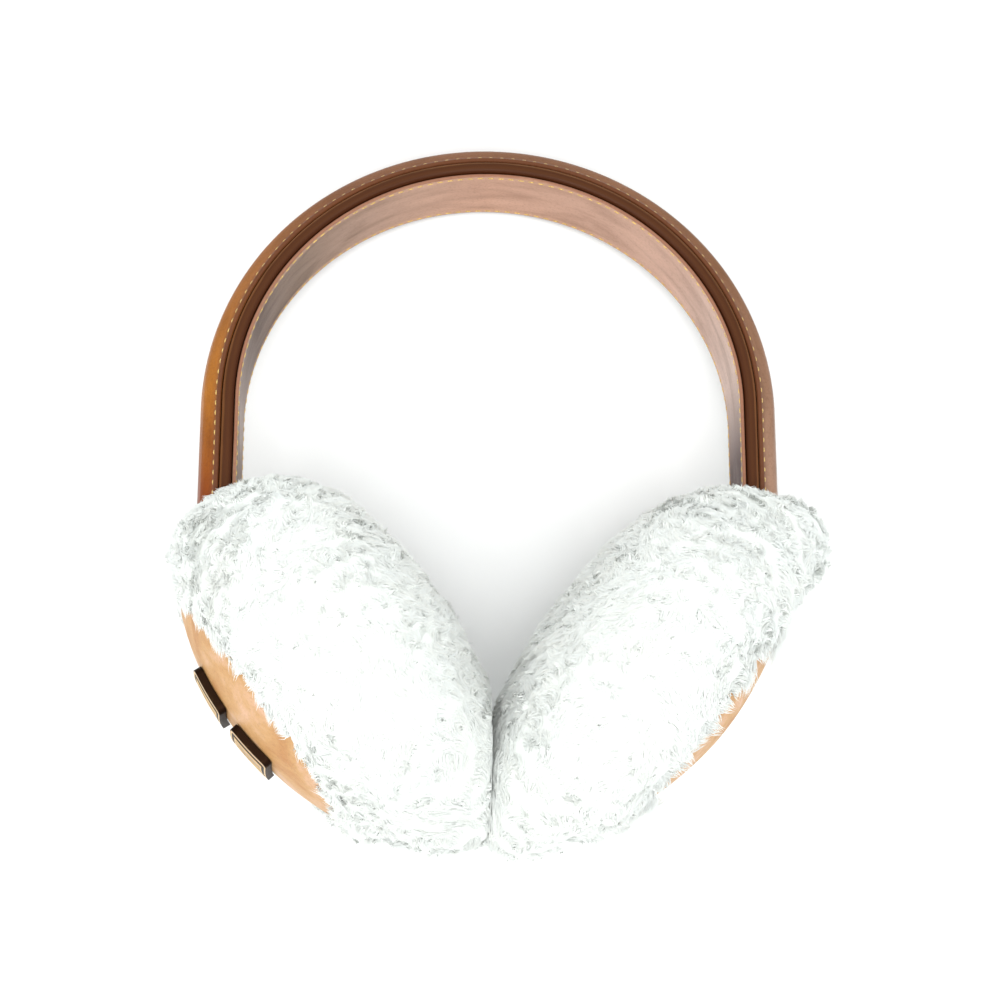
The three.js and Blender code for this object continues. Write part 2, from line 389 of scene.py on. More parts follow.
@dataclass(frozen=True)
class Brass:
    """Old brass: bright on its rubbed edges, brown-black in its recesses, and with painted shade
    darkening its sides.
    """

    name: str = "old_brass"
    bright: Color = srgb(210, 172, 104)
    middle: Color = srgb(138, 104, 60)
    dark: Color = srgb(44, 29, 20)

    def material(self) -> bpy.types.Material:
        """The brass's material. The bars' attribute is 1 on their rubbed bright edges and 0 low on
        their sides, where it paints shade.
        """
        shader = Shader(self.name)
        rub_and_shade = shader.attribute("rub_and_shade").outputs["Fac"]
        stains = shader.noise(420.0, 5, roughness=0.7, distortion=0.6)
        rubbed_and_shaded = shader.math("ADD", rub_and_shade, shader.math(
            "MULTIPLY", shader.math("SUBTRACT", stains, 0.5), 0.6))
        color = shader.ramp(rubbed_and_shaded, [(0.18, self.dark), (0.5, self.middle), (0.82, self.bright)])
        shader.set(Base_Color=color, Metallic=1.0, Specular_IOR_Level=0.5,
                   Roughness=shader.spread(rubbed_and_shaded, 0.1, 0.9, 0.55, 0.32))
        shader.bump((stains, 0.05 * MM), (shader.noise(3000.0, 2), 0.02 * MM))
        return shader.material


@dataclass(frozen=True)
class Wool:
    """White lamb's wool, a little greyer at the roots as painted shade deep in the fleece. The
    attributes "rise" and "tone" run along a strand and between strands.
    """

    name: str = "sheepskin"
    # Painted shade: the root colour is a little greyer than the tip, for the shade deep in the
    # fleece
    root: Color = srgb(244, 246, 243)
    tip: Color = srgb(245, 248, 246)
    warm: Color = srgb(247, 246, 239)

    def material(self) -> bpy.types.Material:
        """The wool's material."""
        shader = Shader(self.name)
        rise = shader.attribute("rise").outputs["Fac"]
        tone = shader.attribute("tone").outputs["Fac"]
        clouds = shader.noise(70.0, 3, roughness=0.6)
        tint = shader.mix(shader.spread(shader.math("ADD", clouds, tone), 0.7, 1.4, 0.0, 0.6),
                          self.tip, self.warm)
        color = shader.mix(shader.spread(rise, 0.0, 0.6), self.root, tint)
        shader.set(Base_Color=color, Roughness=0.95, Specular_IOR_Level=0.08,
                   Sheen_Weight=0.1, Sheen_Roughness=0.6)
        shader.bump((shader.noise(1600.0, 3), 0.15 * MM))
        return shader.material


@dataclass(frozen=True)
class Thread:
    """Waxed sewing thread."""

    name: str
    color: Color

    def material(self) -> bpy.types.Material:
        """The thread's material, twisted by bands of light and dark."""
        shader = Shader(self.name)
        twist = shader.noise(2600.0, 2)
        shade = tuple(0.45 * channel for channel in self.color)
        shader.set(Base_Color=shader.ramp(twist, [(0.35, shade), (0.6, self.color)]),
                   Roughness=0.5, Sheen_Weight=0.3)
        shader.bump((twist, 0.06 * MM))
        return shader.material


@dataclass(frozen=True)
class Paper:
    """The pale, matt floor."""

    name: str = "pale_floor"
    color: Color = (0.97, 0.97, 0.97)

    def material(self) -> bpy.types.Material:
        """The floor's material."""
        shader = Shader(self.name)
        shader.set(Base_Color=self.color, Roughness=1.0, Specular_IOR_Level=0.0)
        return shader.material


# Placing and meshes


@dataclass
class Lie:
    """How the earmuffs lie: leaned back until crown and fur rest on the floor."""

    arch_rise: float = ARCH_RISE
    core_top: float = 4.7 * MM
    band_width: float = BAND_WIDTH
    pad_drop: float = PAD_DROP
    pad_rest: float = 56 * MM

    def matrix(self) -> Matrix:
        """The worn frame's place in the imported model, from the core's box."""
        crown = self.arch_rise + self.core_top
        span = crown + self.pad_drop
        half = self.band_width / 2
        lean = math.asin(self.pad_rest / math.hypot(span, half)) - math.atan2(half, span)
        low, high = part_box("band_core")
        shift = Vector((
            (low.x + high.x) / 2,
            high.y - crown * math.cos(lean) - half * math.sin(lean),
            crown * math.sin(lean) + half * math.cos(lean),
        ))
        log.info("leans back by %.2f degrees", math.degrees(lean))
        return Matrix.Translation(shift) @ Matrix.Rotation(-lean, 4, "X")


def keep(name: str, made: bmesh.types.BMesh, place: Matrix, material: bpy.types.Material,
         smooth: float = 40.0) -> bpy.types.Object:
    """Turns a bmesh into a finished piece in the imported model's frame.

    Args:
        name: The piece's name.
        made: The mesh in its own frame, which is freed.
        place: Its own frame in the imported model's.
        material: The finish.
        smooth: Faces that meet at less than this many degrees are shaded as one.

    Returns:
        The piece, riding on the one body.
    """
    bmesh.ops.recalc_face_normals(made, faces=made.faces)
    made.transform(place)
    mesh = bpy.data.meshes.new(name)
    made.to_mesh(mesh)
    made.free()
    return stand(name, mesh, material, smooth)


def stand(name: str, mesh: bpy.types.Mesh, material: bpy.types.Material,
          smooth: float = 180.0) -> bpy.types.Object:
    """Makes a mesh an object that rides on the body.

    Args:
        name: The piece's name.
        mesh: The mesh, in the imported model's frame.
        material: The finish.
        smooth: Faces that meet at less than this many degrees are shaded as one.

    Returns:
        The piece.
    """
    mesh.materials.append(material)
    mesh.shade_smooth()
    if smooth < 180.0:
        mesh.set_sharp_from_angle(angle=math.radians(smooth))
    piece = bpy.data.objects.new(name, mesh)
    bpy.context.scene.collection.objects.link(piece)
    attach(piece, BODY)
    log.info("%s: %d faces", name, len(mesh.polygons))
    return piece


def sweep(section: Section, stations: Iterable[float]) -> bmesh.types.BMesh:
    """Extrudes a section along X, one step for each station.

    Args:
        section: The outline, as points across (Y) and out (Z).
        stations: The steps' places along X.

    Returns:
        The closed bar.
    """
    made = bmesh.new()
    first, *rest = stations
    face = made.faces.new([made.verts.new((first, y, z)) for y, z in section])
    bmesh.ops.duplicate(made, geom=[face])
    at = first
    for station in rest:
        grown = bmesh.ops.extrude_face_region(made, geom=[face])["geom"]
        bmesh.ops.delete(made, geom=[face], context="FACES_ONLY")
        face = next(item for item in grown if isinstance(item, bmesh.types.BMFace))
        bmesh.ops.translate(made, vec=(station - at, 0, 0), verts=face.verts)
        at = station
    bmesh.ops.remove_doubles(made, verts=made.verts, dist=1e-7)
    return made


def turned(profile: Sequence[tuple[float, float]], steps: int) -> bmesh.types.BMesh:
    """Spins a profile round Z.

    Args:
        profile: Points as radius and height. Where it starts or ends on the axis, it is closed.
        steps: Steps of the full turn.

    Returns:
        The turned shell.
    """
    made = bmesh.new()
    points = [made.verts.new((radius, 0, height)) for radius, height in profile]
    edges = [made.edges.new(pair) for pair in zip(points, points[1:])]
    bmesh.ops.spin(made, geom=points + edges, cent=(0, 0, 0), axis=(0, 0, 1),
                   angle=2 * math.pi, steps=steps, use_merge=True)
    bmesh.ops.remove_doubles(made, verts=made.verts, dist=1e-6)
    return made


# Headband


@dataclass
class Headband:
    """The band: padded cover, stiff core with painted edges, lining and their stitches."""

    lie: Matrix
    half_width: float = ARCH_HALF_WIDTH
    rise: float = ARCH_RISE
    leg: float = LEG_LENGTH
    core_width: float = BAND_WIDTH
    core_thickness: float = 3.4 * MM
    lining_width: float = 26.5 * MM
    lining_thickness: float = 1.0 * MM
    cover_width: float = 26 * MM
    cover_edge: float = 1.2 * MM
    cover_crown: float = 5.6 * MM
    margin: float = 1.9 * MM
    step: float = 1.5 * MM
    stitch_pitch: float = 3.0 * MM

    def __post_init__(self) -> None:
        """Works out where each layer of the band lies."""
        self.turn_radius = (self.half_width + self.rise) / 2
        self.length = 2 * self.leg + math.pi * self.turn_radius
        self.core_base = self.lining_thickness + CLEARANCE
        self.cover_base = self.core_base + self.core_thickness + CLEARANCE

    def stations(self) -> list[float]:
        """Steps along the band, from the left foot to the right one."""
        count = round(self.length / self.step)
        return [self.length * i / count for i in range(count + 1)]

    def bend(self, along: float, across: float, out: float) -> Vector:
        """Places a point of the straight strip on the arch.

        Args:
            along: Way from the left foot.
            across: Way to the front.
            out: Height over the lining's inner face.

        Returns:
            The point in the worn frame.
        """
        before = self.leg - along
        after = along - self.length + self.leg
        around = min(max(along - self.leg, 0), math.pi * self.turn_radius)
        angle = math.pi - around / self.turn_radius
        cosine, sine = math.cos(angle), math.sin(angle)
        outward = Vector((self.rise * cosine, self.half_width * sine, 0)).normalized()
        foot = Vector((self.half_width * cosine, self.rise * sine - max(before, after, 0), across))
        return foot + outward * out

    def strip(self, name: str, section: Section, material: bpy.types.Material,
              slot: str) -> bpy.types.Object:
        """Makes one layer of the band.

        Args:
            name: The piece's name.
            section: The layer's section, across and out.
            material: The finish.
            slot: The record's material slot; not used.

        Returns:
            The piece, with its straight places kept in the attribute "strip".
        """
        made = sweep(section, self.stations())
        layer = made.verts.layers.float_vector.new("strip")
        for vertex in made.verts:
            vertex[layer] = vertex.co.copy()
            vertex.co = self.bend(*vertex.co)
        return keep(name, made, self.lie, material, 35.0)

    def cover_height(self, across: float) -> float:
        """Height of the cover's leather over its base, padded between two flat margins."""
        half = self.cover_width / 2
        dome = self.cover_edge + self.cover_crown * math.sqrt(max(0, 1 - (across / half) ** 2))
        share = min(max((half - self.margin * 0.55 - abs(across)) / (1.6 * self.margin), 0), 1)
        share = share * share * (3 - 2 * share)
        return (self.cover_edge + 0.25 * MM) * (1 - share) + dome * share

    def cover_section(self) -> Section:
        """Outline of the cover."""
        half = self.cover_width / 2
        base = self.cover_base
        round_edge = 0.3 * MM
        outline = [(-half + round_edge, base), (half - round_edge, base), (half, base + round_edge)]
        top = self.cover_height(half)
        outline.append((half, base + top - round_edge))
        count = 36
        for i in range(count + 1):
            across = (half - round_edge) * math.cos(math.pi * i / count)
            outline.append((across, base + self.cover_height(across)))
        outline += [(-half, base + top - round_edge), (-half, base + round_edge)]
        return outline

    @staticmethod
    def rounded(width: float, base: float, thickness: float, radius: float,
                across: int = 10) -> Section:
        """Outline of a flat strip with round edges.

        Args:
            width: Its width.
            base: Its lower face's height.
            thickness: Its thickness.
            radius: Its edges' radius, at most half its thickness.
            across: Points along each face.

        Returns:
            The outline.
        """
        outline = []
        side, low, high = width / 2 - radius, base + radius, base + thickness - radius
        corners = [(side, low, -0.5), (side, high, 0), (-side, high, 0.5), (-side, low, 1)]
        for x, y, start in corners:
            for i in range(5):
                angle = math.pi * (start + i / 8)
                outline.append((x + radius * math.cos(angle), y + radius * math.sin(angle)))
            if start in (0, 1):
                ahead = -1 if start == 0 else 1
                for i in range(1, across):
                    outline.append((-ahead * side * (1 - 2 * i / across),
                                    y + (radius if start == 0 else -radius)))
        return outline

    def stitches(self, name: str, rows: Sequence[tuple[float, float]], thread: Thread,
                 size: tuple[float, float, float]) -> bpy.types.Object:
        """Sews rows of stitches along the band.

        Args:
            name: The piece's name.
            rows: Each row's place across and out.
            thread: The thread.
            size: A stitch's length, width and height.

        Returns:
            All the stitches as one piece.
        """
        made = bmesh.new()
        count = int(self.length / self.stitch_pitch)
        half = Vector(size) / 2
        for across, out in rows:
            for i in range(count):
                along = self.length * (i + 0.5) / count
                here = self.bend(along, across, out)
                ahead = (self.bend(along + 0.5 * MM, across, out) - here).normalized()
                toward = Vector((0, 0, 1))
                outward = ahead.cross(toward)
                axes = Matrix((ahead * half.x, toward * half.y, outward * half.z)).transposed()
                place = Matrix.Translation(here) @ axes.to_4x4()
                bmesh.ops.create_uvsphere(made, u_segments=6, v_segments=4, radius=1, matrix=place)
        return keep(name, made, self.lie, thread.material(), 180.0)

    def build(self) -> list[bpy.types.Object]:
        """Makes the band's pieces, each in its node's place."""
        clouds = ((0.66, 0.64, 0.62), (0.86, 0.86, 0.86), (1.0, 1.0, 1.0))
        cover = self.strip("cover_leather_band", self.cover_section(), BandLeather(
            "cover_leather", *clouds, edge=srgb(102, 58, 32), margin=srgb(113, 61, 27),
            # Painted light on the cover: bright orange on its left leg, browner dye over the crown
            # and right leg
            dye_and_painted_light=(
                (0.06, srgb(134, 61, 2)), (0.15, srgb(178, 109, 29)), (0.25, srgb(159, 99, 45)),
                (0.37, srgb(132, 84, 53)), (0.72, srgb(131, 86, 53)), (0.92, srgb(165, 127, 104)),
            ),
            half_width=self.cover_width / 2, margin_width=self.margin, length=self.length,
        ).material(), "cover_leather")
        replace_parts(cover, "band_cover")
        core = self.strip("core_edge_band", self.rounded(
            self.core_width, self.core_base, self.core_thickness, 1.2 * MM, 6), EdgePaint(
            "edge_leather", self.core_base, self.core_thickness, (
                (0.1, srgb(69, 32, 9)), (0.4, srgb(79, 41, 12)), (0.66, srgb(73, 36, 11)),
                (0.76, srgb(73, 39, 12)), (0.84, srgb(106, 63, 29)),
            )).material(), "edge_leather")
        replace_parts(core, "band_core")
        lining = self.strip("lining_leather_band", self.rounded(
            self.lining_width, 0.0, self.lining_thickness, 0.4 * MM, 24), BandLeather(
            "lining_leather", *clouds, edge=srgb(152, 105, 82), margin=srgb(209, 162, 134),
            # Painted shade on the lining: dark grey-brown on its left leg and at its right foot,
            # lighter pink over the crown
            dye_and_painted_light=(
                (0.08, srgb(133, 102, 84)), (0.14, srgb(168, 146, 137)), (0.22, srgb(92, 60, 40)),
                (0.3, srgb(141, 112, 91)), (0.38, srgb(184, 147, 126)), (0.5, srgb(203, 156, 131)),
                (0.7, srgb(212, 169, 148)), (0.82, srgb(226, 196, 183)), (0.9, srgb(90, 56, 50)),
            ),
            half_width=self.lining_width / 2, margin_width=2.4 * MM, grain_depth=0.035 * MM,
            length=self.length,
        ).material(), "lining_leather")
        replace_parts(lining, "band_lining")
        gold = Thread("gold_thread", srgb(248, 208, 109))
        place = self.cover_width / 2 - 0.9 * MM
        height = self.cover_base + self.cover_height(place) + 0.05 * MM
        cover_rows = [(place, height), (-place, height)]
        made = [cover, core, lining]
        made.append(self.stitches("cover_stitches", cover_rows, gold,
                                  (1.7 * MM, 0.8 * MM, 0.6 * MM)))
        place = self.lining_width / 2 - 1.3 * MM
        lining_rows = [(place, -0.03 * MM), (-place, -0.03 * MM)]
        made.append(self.stitches("lining_stitches", lining_rows, gold,
                                  (2.1 * MM, 0.5 * MM, 0.4 * MM)))
        return made


# Pads


@dataclass
class Pad:
    """One pad: its wool, its cap and how it lies. Its frame has X' down and Z' towards the ear.

    Each swell of the wool has its direction round the pad, its direction over the shoulder (0
    towards the ear), its height and a power that narrows it. Each layer of lumps has its height
    and its waves in a metre. The overhang lengthens the strands at the cap's rim.
    """

    lie: Matrix
    side: Side
    spread: float
    drop: float
    lean: float
    turn: float
    cap_depth: float
    seed: int
    radius: float = PAD_RADIUS
    inside: float = PAD_INSIDE
    nap: float = 1.9 * MM
    swells: tuple[tuple[float, float, float, float], ...] = ()
    shoulder_power: float = 0.77
    cap_radius: float = 37.5 * MM
    cap_dome: float = 8 * MM
    cap_thickness: float = 2 * MM
    rings: int = 96
    sides: int = 280
    tufts: int = 1500
    strands: int = 80
    tuft_radius: float = 3.6 * MM
    strand_length: float = 4.4 * MM
    strand_width: float = 0.3 * MM
    overhang: float = 0.0
    rim_share: float = 0.1
    lumps: tuple[tuple[float, float], ...] = ((1.2 * MM, 60.0), (0.9 * MM, 160.0))
    band_thickness: float = 11.8 * MM

    def __post_init__(self) -> None:
        """Works out the pad's frame and its repeatable random numbers."""
        sign = self.side.value
        away = math.radians(self.lean)
        forward = math.radians(self.turn)
        down = Vector((-sign * math.sin(away), -math.cos(away), 0))
        level = Vector((-sign * math.cos(away), math.sin(away), 0))
        inward = level * math.cos(forward) + Vector((0, 0, -math.sin(forward)))
        across = inward.cross(down)
        axes = Matrix((down, across, inward)).transposed().to_4x4()
        axes.translation = Vector((sign * self.spread, -self.drop, 0))
        self.frame = axes
        self.place = self.lie @ axes
        self.random = np.random.default_rng(self.seed)

    def shoulder(self, share: np.ndarray) -> tuple[np.ndarray, np.ndarray]:
        """The wool's ground over the pad's round shoulder.

        Args:
            share: 0 at the cap's rim, 1 in the middle of the ear's side.

        Returns:
            Radius and height of each point.
        """
        angle = (np.asarray(share, float) - 0.5) * np.pi
        outer = angle < 0
        flat = np.where(outer, self.cap_radius + 0.6 * MM, 0.0)
        depth = np.where(outer, self.cap_depth, self.inside - self.nap)
        reach = self.radius - self.nap - flat
        cosine = np.maximum(np.cos(angle), 0.0)
        return flat + reach * cosine ** self.shoulder_power, depth * np.sin(angle)

    def ground(self, share: np.ndarray, turn: np.ndarray) -> tuple[np.ndarray, np.ndarray]:
        """Points and normals of the wool's ground, swollen towards the seam and lumpy.

        Args:
            share: Places over the shoulder, from 0 to 1.
            turn: Directions round the pad, 0 downwards.

        Returns:
            Points and unit normals, in the pad's frame.
        """
        radius, height = self.shoulder(share)
        before = self.shoulder(np.clip(share - 0.01, 0.0, 1.0))
        after = self.shoulder(np.clip(share + 0.01, 0.0, 1.0))
        slope_r, slope_z = after[0] - before[0], after[1] - before[1]
        size = np.hypot(slope_r, slope_z) + 1e-12
        out_r, out_z = slope_z / size, -slope_r / size
        outward = np.arctan2(out_r, out_z)
        points = np.stack([radius * np.cos(turn), radius * np.sin(turn), height], -1)
        normals = np.stack([out_r * np.cos(turn), out_r * np.sin(turn), out_z], -1)
        swell = np.zeros(len(points))
        for around, over, height, power in self.swells:
            toward = np.maximum(np.cos(turn - around), 0) * np.maximum(np.cos(outward - over), 0)
            swell += height * toward ** power
        lumps = np.array([self.lump(p) for p in points])
        edge = np.clip(np.asarray(share) / 0.12, 0, 1)
        return points + normals * (swell + lumps * edge)[:, None], normals

    def lump(self, at: np.ndarray) -> float:
        """Height of the wool's soft lumps at a point."""
        place = Vector(at) + Vector((self.seed * 0.37, 0, 0))
        return sum(height * noise.noise(place * waves) for height, waves in self.lumps)

    def pressed(self, points: np.ndarray, floor: float, seam: float) -> np.ndarray:
        """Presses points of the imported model's frame flat on the floor and at the seam.

        Args:
            points: The points.
            floor: Height that they keep over the floor.
            seam: Distance that they keep from the plane between the pads.

        Returns:
            The pressed points.
        """
        sign = self.side.value
        made = points.copy()
        made[:, 2] = np.maximum(made[:, 2], floor)
        middle = self.lie.translation.x
        made[:, 0] = middle + sign * np.maximum(sign * (made[:, 0] - middle), seam)
        return made

    def laid(self, points: np.ndarray) -> np.ndarray:
        """Points of the pad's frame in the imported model's."""
        matrix = np.array(self.place)
        return points @ matrix[:3, :3].T + matrix[:3, 3]

    def band_gap(self, points: np.ndarray, margin: float) -> np.ndarray:
        """Which points, in the pad's frame, are in the space that the band's foot takes."""
        matrix = np.array(self.frame)
        rub_and_shade = points @ matrix[:3, :3].T + matrix[:3, 3]
        out = self.side.value * rub_and_shade[:, 0] - ARCH_HALF_WIDTH
        return ((np.abs(rub_and_shade[:, 2]) < BAND_WIDTH / 2 + margin) & (out > -margin)
                & (out < self.band_thickness + margin) & (rub_and_shade[:, 1] > -LEG_LENGTH - margin))

    def dome_radius(self) -> float:
        """Radius of the ball that the cap's dome is part of."""
        return (self.cap_radius ** 2 + self.cap_dome ** 2) / (2 * self.cap_dome)

    def dome(self, radius: np.ndarray, depth: float = 0.0) -> np.ndarray:
        """Height of the cap's dome over its rim, some depth under its outer face."""
        whole = self.dome_radius()
        inner = np.maximum((whole - depth) ** 2 - np.asarray(radius) ** 2, 0)
        return np.sqrt(inner) - (whole - self.cap_dome)

    def skin(self, material: bpy.types.Material) -> bpy.types.Object:
        """Makes the wool's ground: a closed, lumpy shell with a seat for the cap."""
        behind = self.cap_thickness + CLEARANCE
        seat = []
        for i in range(9):
            radius = (self.cap_radius - behind) * i / 8
            seat.append((radius, -self.cap_depth - float(self.dome(radius, behind))))
        rim = self.cap_radius + CLEARANCE
        shares = np.linspace(0.0, 1.0, self.rings)
        radii, heights = self.shoulder(shares)
        profile = seat + [(rim, seat[-1][1]), (rim, -self.cap_depth)]
        profile += list(zip(radii.tolist(), heights.tolist()))
        made = turned(profile, self.sides)
        flat = np.array([vertex.co for vertex in made.verts])
        radius = np.hypot(flat[:, 0], flat[:, 1])
        turn = np.arctan2(flat[:, 1], flat[:, 0])
        share = self.share_at(radius, flat[:, 2])
        free = (share >= 0)
        moved = flat.copy()
        moved[free] = self.ground(share[free], turn[free])[0]
        pressed = self.pressed(self.laid(moved), 0.1 * MM, CLEARANCE / 2 + 0.1 * MM)
        for vertex, point in zip(made.verts, pressed):
            vertex.co = Vector(point)
        bmesh.ops.recalc_face_normals(made, faces=made.faces)
        rise = made.verts.layers.float.new("rise")
        tone = made.verts.layers.float.new("tone")
        # Painted shade: the ground under the strands takes part of the greyer root colour
        for vertex in made.verts:
            vertex[rise] = 0.35
            vertex[tone] = 0.5
        return keep(f"wool_ground_{self.side.word}", made, Matrix.Identity(4), material,
                    180.0)

    def share_at(self, radius: np.ndarray, height: np.ndarray) -> np.ndarray:
        """Which place over the shoulder each point of the plain profile has, or -1."""
        shares = np.linspace(0.0, 1.0, self.rings)
        radii, heights = self.shoulder(shares)
        apart = np.hypot(radius[:, None] - radii, height[:, None] - heights)
        nearest = apart.argmin(1)
        return np.where(apart.min(1) < 1e-6, shares[nearest], -1.0)

    def sites(self) -> tuple[np.ndarray, np.ndarray]:
        """Where the tufts grow, evenly over the wool's ground.

        Returns:
            Places over the shoulder and directions round the pad.
        """
        table = np.linspace(0.0, 1.0, 600)
        radii, heights = self.shoulder(table)
        ring = np.hypot(np.diff(radii), np.diff(heights)) * (radii[1:] + radii[:-1]) / 2
        total = np.concatenate([[0.0], np.cumsum(ring)])
        number = np.arange(self.tufts)
        wanted = (number + 0.5 + self.random.uniform(-0.5, 0.5, self.tufts)) / self.tufts
        share = np.interp(wanted, total / total[-1], table)
        turn = number * math.pi * (3 - math.sqrt(5)) + self.random.uniform(-0.05, 0.05, self.tufts)
        return share, turn % (2 * math.pi)

    def combing(self, points: np.ndarray, normals: np.ndarray, share: np.ndarray) -> np.ndarray:
        """Which way each tuft leans, along the ground.

        Args:
            points: The tufts' places in the pad's frame.
            normals: The ground's normals there.
            share: Their places over the shoulder.

        Returns:
            Vectors along the ground, up to about 1 long.
        """
        # Vector noise takes its seed from the clock unless it is given one
        noise.seed_set(self.seed)
        drift = np.array([noise.noise_vector(Vector(p) * 45 + Vector((self.seed, 0, 0)))
                          for p in points])
        fine = np.array([noise.noise_vector(Vector(p) * 150 + Vector((0, self.seed, 0)))
                         for p in points])
        lean = 1.5 * drift + 1.1 * fine + np.array([0.55, 0.0, 0.0])
        rim = np.clip(1 - share / self.rim_share, 0, 1)[:, None]
        to_axis = -points * np.array([1.0, 1.0, 0.0])
        to_axis /= np.linalg.norm(to_axis, axis=1)[:, None] + 1e-9
        lean = lean * (1 - 0.6 * rim) + to_axis * rim * 0.9
        lean -= normals * (lean * normals).sum(1)[:, None]
        size = np.linalg.norm(lean, axis=1)[:, None]
        return lean / np.maximum(size, 1.0)

    def fleece(self, material: bpy.types.Material, pieces: int) -> list[bpy.types.Object]:
        """Grows the strands in tufts: each leans, twists and draws its strands to a point.

        Args:
            material: The wool.
            pieces: How many pieces to share the strands over.

        Returns:
            The pieces.
        """
        share, turn = self.sites()
        points, normals = self.ground(share, turn)
        combed = self.combing(points, normals, share)
        low = self.laid(points)[:, 2] > 1.0 * MM
        apart = self.side.value * (self.laid(points)[:, 0] - self.lie.translation.x) > -2 * MM
        clear = ~self.band_gap(points, -0.5 * MM)
        chosen = np.flatnonzero(low & apart & clear)
        count = len(chosen)
        random = self.random
        normal = np.repeat(normals[chosen], self.strands, 0)
        lean = np.repeat(combed[chosen], self.strands, 0)
        centre = np.repeat(points[chosen], self.strands, 0)
        first = np.cross(normal, np.array([0.31, 0.52, 0.79]))
        first /= np.linalg.norm(first, axis=1)[:, None]
        second = np.cross(normal, first)
        total = count * self.strands
        bearing = random.uniform(0, 2 * np.pi, total)
        away = self.tuft_radius * np.sqrt(random.uniform(0, 1, total))
        length = np.repeat(random.uniform(0.75, 1.2, count), self.strands)
        length = length * random.uniform(0.8, 1.1, total) * self.strand_length
        rim = np.repeat(np.clip(1 - share[chosen] / self.rim_share, 0, 1), self.strands)
        length = length * (1 + rim * random.uniform(-0.5, 0.7, total))
        if self.overhang:
            longer = self.overhang * random.uniform(0.35, 1.3, count)
            length = length * (1 + rim * np.repeat(longer, self.strands))
        twist = np.repeat(random.uniform(-1.7, 1.7, count), self.strands)
        gather = np.repeat(random.uniform(0.55, 0.85, count), self.strands)
        stray = random.normal(0, 0.35 * MM, (total, 3))
        steps = np.array([0.0, 0.55, 1.0])
        line = []
        for step in steps:
            close = away * (1 - gather * step ** 1.2)
            angle = bearing + twist * step
            up = length * (step * 0.56 - 0.2 * step * step) - 0.3 * MM
            over = length * 0.7 * step ** 1.5
            line.append(centre + first * (close * np.cos(angle))[:, None]
                        + second * (close * np.sin(angle))[:, None]
                        + normal * up[:, None] + lean * over[:, None] + stray * step)
        line = np.stack(line, 1)
        line = self.kept_clear(line)
        taken = self.band_gap(line.reshape(-1, 3), 0.2 * MM).reshape(total, len(steps)).any(1)
        line = line[~taken]
        tone = random.uniform(0, 1, total)[~taken]
        laid = self.pressed(self.laid(line.reshape(-1, 3)), 0.03 * MM, 0.03 * MM)
        laid = laid.reshape(line.shape)
        facing = normal[~taken] @ np.array(self.place)[:3, :3].T
        made = []
        for number, part in enumerate(np.array_split(np.arange(len(laid)), pieces)):
            name = f"wool_{self.side.word}_{number + 1}"
            mesh = strand_mesh(name, laid[part], facing[part], tone[part], self.strand_width)
            made.append(stand(name, mesh, material))
        return made

    def kept_clear(self, line: np.ndarray) -> np.ndarray:
        """Lifts strands that lean over the cap onto its leather."""
        made = line.copy()
        radius = np.hypot(line[..., 0], line[..., 1])
        over = radius < self.cap_radius + 0.6 * MM
        top = -self.cap_depth - np.maximum(self.dome(radius), 0) - 0.3 * MM
        outer = line[..., 2] < 0
        made[..., 2] = np.where(over & outer, np.minimum(line[..., 2], top), line[..., 2])
        return made

    def cap(self, finish: Leather) -> bpy.types.Object:
        """Makes the cap: a domed leather shell with a rolled rim and soft puckers."""
        count = 26
        lip = self.cap_thickness / 2
        profile = []
        for i in range(count + 1):
            radius = (self.cap_radius - 0.5 * lip) * i / count
            profile.append((radius, -self.cap_depth - float(self.dome(radius))))
        edge = profile[-1]
        for i in range(1, 7):
            angle = math.pi * i / 6
            profile.append((edge[0] + 0.5 * lip * math.sin(angle),
                            edge[1] + lip * (1 - math.cos(angle))))
        for i in range(count - 1, -1, -1):
            radius = (self.cap_radius - self.cap_thickness) * i / count
            profile.append((radius, -self.cap_depth
                            - float(self.dome(radius, self.cap_thickness))))
        made = turned(profile, 128)
        for vertex in made.verts:
            radius = math.hypot(vertex.co.x, vertex.co.y) / self.cap_radius
            place = vertex.co * 60 + Vector((self.seed, 0, 0))
            soft = 0.22 * MM * noise.noise(place) * min(1.0, 2.5 * (1 - radius) + 0.25)
            pucker = 0.12 * MM * max(0, radius - 0.75) * 4
            turn = math.atan2(vertex.co.y, vertex.co.x)
            vertex.co.z += soft + pucker * math.sin(turn * 46 + 3 * noise.noise(place * 2))
        piece = keep(f"cap_leather_{self.side.word}", made, self.place, finish.material(),
                     50.0)
        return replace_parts(piece, f"cap_{self.side.word}")

    def build(self, wool: bpy.types.Material, leather: Leather) -> None:
        """Makes the pad's cap and its wool in the places of their nodes."""
        self.cap(leather)
        ground = self.skin(wool)
        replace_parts(ground, f"fur_{self.side.word}")
        for piece in self.fleece(wool, 3):
            piece.parent = ground


